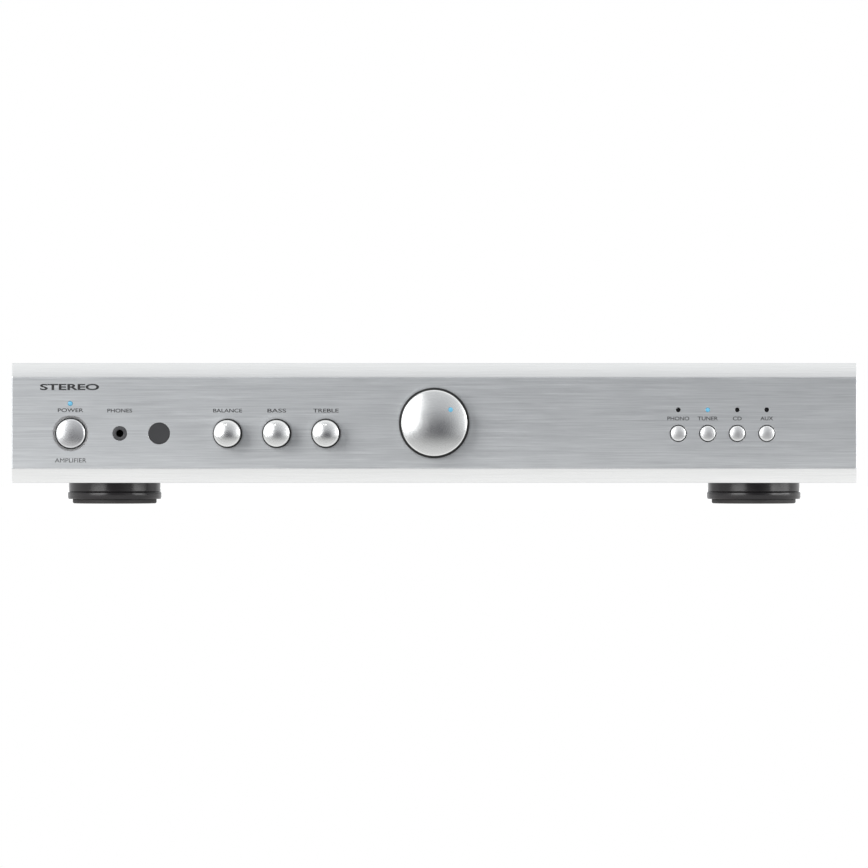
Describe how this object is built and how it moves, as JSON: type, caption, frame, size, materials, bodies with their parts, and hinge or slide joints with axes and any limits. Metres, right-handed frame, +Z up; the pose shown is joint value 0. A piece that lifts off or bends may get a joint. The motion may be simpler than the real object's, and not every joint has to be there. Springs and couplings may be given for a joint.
{
  "type": "integrated stereo amplifier",
  "caption": "Slim full-width integrated amplifier with a brushed aluminium faceplate, domed turned knobs, push buttons, rear sockets and screw terminals, on round feet.",
  "frame": {"origin": "on the floor, under the middle of the whole object's bounding box", "axes": "+X to the right as seen from the front, +Y from the faceplate to the rear, +Z up"},
  "size_m": [0.43, 0.347, 0.0718],
  "materials": {
    "faceplate_aluminium": "anodised aluminium, brushed along its length, with smoother sloped bands",
    "turned_aluminium": "clear anodised aluminium, turned, with fine concentric marks",
    "case_paint": "silver-grey satin powder coat on steel sheet",
    "zinc_steel": "bright zinc-plated steel",
    "knob_plastic": "black satin moulded plastic",
    "switch_plastic": "black moulded plastic",
    "socket_plastic": "dark grey moulded plastic",
    "dark_filter": "smoked grey infrared filter",
    "blue_lens": "pale blue translucent lens, lit",
    "light_pipe": "smoked clear light pipe",
    "foot_plastic": "black glossy moulded plastic",
    "foot_rubber": "black synthetic rubber",
    "jack_plastic": "black moulded plastic with plated contact shells",
    "inlet_plastic": "black glass-filled nylon",
    "terminal_plastic": "black moulded plastic over gold-plated brass studs",
    "red_plastic": "translucent red moulded plastic",
    "gold_plate": "gold-plated brass",
    "circuit_board": "glass-epoxy laminate with green solder resist",
    "winding_film": "amber polyester film wrapped over copper windings on a steel core",
    "black_anodised": "black anodised extruded aluminium",
    "capacitor_sleeve": "dark blue-black shrink sleeve on an aluminium can"
  },
  "bodies": {
    "case": {"front_panel": "faceplate_aluminium", "front_subpanel": "zinc_steel", "chassis_base": "zinc_steel", "rear_panel": "case_paint", "top_cover": "case_paint", "power_switch": "switch_plastic", "power_lamp": "blue_lens", "headphone_socket": "socket_plastic", "infrared_window": "dark_filter", "tone_board": "circuit_board", "control_board": "circuit_board", "main_board": "circuit_board", "volume_pot": "zinc_steel", "volume_motor": "zinc_steel", "source_light_pipe": "light_pipe", "input_jacks": "jack_plastic", "preout_jacks": "jack_plastic", "mains_inlet": "inlet_plastic", "trigger_socket": "inlet_plastic", "speaker_terminal_plate": "terminal_plastic", "power_transformer": "winding_film", "heatsink": "black_anodised", "left_reservoir_capacitor": "capacitor_sleeve", "right_reservoir_capacitor": "capacitor_sleeve", "front_left_foot": "foot_plastic", "front_left_foot_pad": "foot_rubber", "front_right_foot": "foot_plastic", "front_right_foot_pad": "foot_rubber", "rear_left_foot": "foot_plastic", "rear_left_foot_pad": "foot_rubber", "rear_right_foot": "foot_plastic", "rear_right_foot_pad": "foot_rubber"},
    "balance_control": {"balance_knob": "turned_aluminium", "balance_knob_hub": "knob_plastic", "balance_shaft": "zinc_steel"},
    "bass_control": {"bass_knob": "turned_aluminium", "bass_knob_hub": "knob_plastic", "bass_shaft": "zinc_steel"},
    "treble_control": {"treble_knob": "turned_aluminium", "treble_knob_hub": "knob_plastic", "treble_shaft": "zinc_steel"},
    "volume_control": {"volume_knob": "turned_aluminium", "volume_knob_hub": "knob_plastic", "volume_knob_marker": "blue_lens", "volume_shaft": "zinc_steel"},
    "power_button": {"power_button": "turned_aluminium"},
    "phono_button": {"phono_button": "turned_aluminium"},
    "tuner_button": {"tuner_button": "turned_aluminium"},
    "cd_button": {"cd_button": "turned_aluminium"},
    "aux_button": {"aux_button": "turned_aluminium"},
    "left_negative_washer": {"left_negative_washer": "gold_plate"},
    "left_negative_nut": {"left_negative_nut": "terminal_plastic"},
    "left_positive_washer": {"left_positive_washer": "gold_plate"},
    "left_positive_nut": {"left_positive_nut": "red_plastic"},
    "right_negative_washer": {"right_negative_washer": "gold_plate"},
    "right_negative_nut": {"right_negative_nut": "terminal_plastic"},
    "right_positive_washer": {"right_positive_washer": "gold_plate"},
    "right_positive_nut": {"right_positive_nut": "red_plastic"},
    "ground_washer": {"ground_washer": "zinc_steel"},
    "ground_screw": {"ground_screw": "gold_plate"}
  },
  "joints": [
    {"name": "balance_turn", "type": "hinge", "parent": "case", "child": "balance_control", "pos_m": [-0.1051, -0.159, 0.036], "axis": [0, 1, 0], "range_deg": [-141, 159]},
    {"name": "bass_turn", "type": "hinge", "parent": "case", "child": "bass_control", "pos_m": [-0.0801, -0.159, 0.036], "axis": [0, 1, 0], "range_deg": [-137, 163]},
    {"name": "treble_turn", "type": "hinge", "parent": "case", "child": "treble_control", "pos_m": [-0.0551, -0.159, 0.036], "axis": [0, 1, 0], "range_deg": [-147, 153]},
    {"name": "volume_turn", "type": "hinge", "parent": "case", "child": "volume_control", "pos_m": [0, -0.159, 0.0413], "axis": [0, 1, 0], "range_deg": [-201, 99]},
    {"name": "power_button_press", "type": "slide", "parent": "case", "child": "power_button", "axis": [0, 1, 0], "range_m": [0, 0.0025], "stiffness_N_per_m": 400, "springref_m": -0.002},
    {"name": "phono_button_press", "type": "slide", "parent": "case", "child": "phono_button", "axis": [0, 1, 0], "range_m": [0, 0.0008], "stiffness_N_per_m": 1200, "springref_m": -0.0006},
    {"name": "tuner_button_press", "type": "slide", "parent": "case", "child": "tuner_button", "axis": [0, 1, 0], "range_m": [0, 0.0008], "stiffness_N_per_m": 1200, "springref_m": -0.0006},
    {"name": "cd_button_press", "type": "slide", "parent": "case", "child": "cd_button", "axis": [0, 1, 0], "range_m": [0, 0.0008], "stiffness_N_per_m": 1200, "springref_m": -0.0006},
    {"name": "aux_button_press", "type": "slide", "parent": "case", "child": "aux_button", "axis": [0, 1, 0], "range_m": [0, 0.0008], "stiffness_N_per_m": 1200, "springref_m": -0.0006},
    {"name": "left_negative_washer_slide", "type": "slide", "parent": "case", "child": "left_negative_washer", "axis": [0, 1, 0], "range_m": [0, 0.003]},
    {"name": "left_negative_nut_turn", "type": "hinge", "parent": "left_negative_washer", "child": "left_negative_nut", "pos_m": [-0.031, 0.1565, 0.041], "axis": [0, 1, 0], "range_deg": [0, 1080]},
    {"name": "left_positive_washer_slide", "type": "slide", "parent": "case", "child": "left_positive_washer", "axis": [0, 1, 0], "range_m": [0, 0.003]},
    {"name": "left_positive_nut_turn", "type": "hinge", "parent": "left_positive_washer", "child": "left_positive_nut", "pos_m": [-0.05, 0.1565, 0.041], "axis": [0, 1, 0], "range_deg": [0, 1080]},
    {"name": "right_negative_washer_slide", "type": "slide", "parent": "case", "child": "right_negative_washer", "axis": [0, 1, 0], "range_m": [0, 0.003]},
    {"name": "right_negative_nut_turn", "type": "hinge", "parent": "right_negative_washer", "child": "right_negative_nut", "pos_m": [-0.076, 0.1565, 0.041], "axis": [0, 1, 0], "range_deg": [0, 1080]},
    {"name": "right_positive_washer_slide", "type": "slide", "parent": "case", "child": "right_positive_washer", "axis": [0, 1, 0], "range_m": [0, 0.003]},
    {"name": "right_positive_nut_turn", "type": "hinge", "parent": "right_positive_washer", "child": "right_positive_nut", "pos_m": [-0.095, 0.1565, 0.041], "axis": [0, 1, 0], "range_deg": [0, 1080]},
    {"name": "ground_washer_slide", "type": "slide", "parent": "case", "child": "ground_washer", "axis": [0, 1, 0], "range_m": [0, 0.003]},
    {"name": "ground_screw_turn", "type": "hinge", "parent": "ground_washer", "child": "ground_screw", "pos_m": [0.197, 0.1565, 0.041], "axis": [0, 1, 0], "range_deg": [0, 1080]}
  ],
  "couplings": [
    {"joint": "left_negative_nut_turn", "follows": "left_negative_washer_slide", "rad_per_m": 6283.2},
    {"joint": "left_positive_nut_turn", "follows": "left_positive_washer_slide", "rad_per_m": 6283.2},
    {"joint": "right_negative_nut_turn", "follows": "right_negative_washer_slide", "rad_per_m": 6283.2},
    {"joint": "right_positive_nut_turn", "follows": "right_positive_washer_slide", "rad_per_m": 6283.2},
    {"joint": "ground_screw_turn", "follows": "ground_washer_slide", "rad_per_m": 6283.2}
  ]
}
